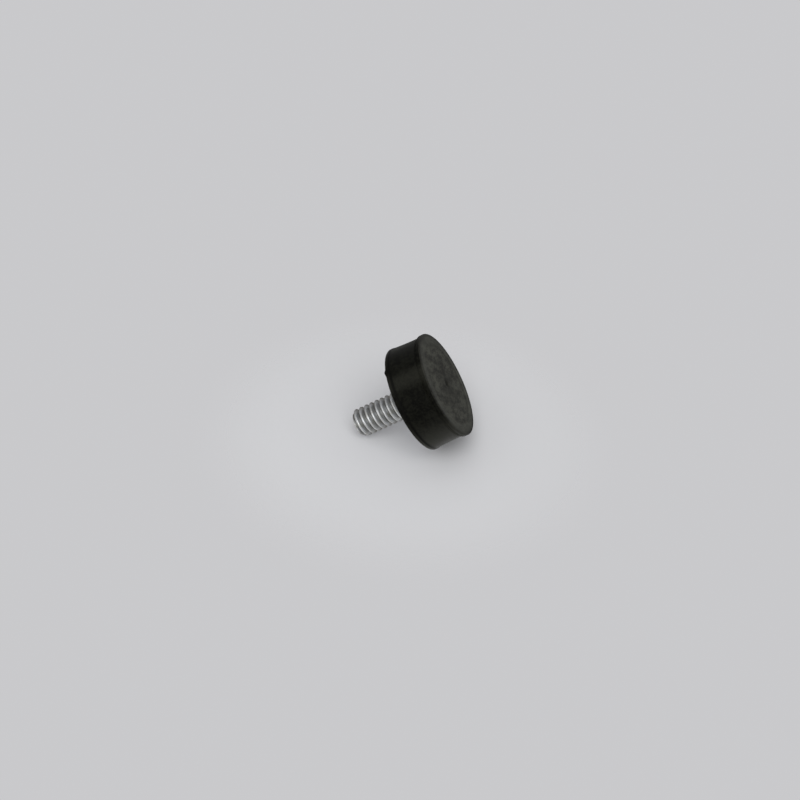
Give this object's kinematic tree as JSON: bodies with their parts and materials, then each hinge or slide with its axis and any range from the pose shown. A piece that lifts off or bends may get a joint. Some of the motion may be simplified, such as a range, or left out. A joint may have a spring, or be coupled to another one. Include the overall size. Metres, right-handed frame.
{
  "type": "rubber buffer",
  "caption": "Low round rubber buffer with a thin lip at each edge, bonded to a steel plate that holds a threaded stud, for use as a stop or a screw-on foot.",
  "frame": {"origin": "centre of the rubber's working face, which the buffer stands on", "axes": "+Z along the buffer's axis, from the working face towards the tip of the stud; X and Y are any two directions across it, since the solids are round"},
  "size_m": [0.0234, 0.0234, 0.0219],
  "materials": {
    "rubber": "matt black moulded rubber with a greyer working face",
    "plated_steel": "zinc-plated sheet steel, satin",
    "plated_stud": "bright zinc-plated rolled thread"
  },
  "bodies": {
    "root": {"rubber_body": "rubber", "base_plate": "plated_steel", "threaded_stud": "plated_stud"}
  },
  "joints": []
}
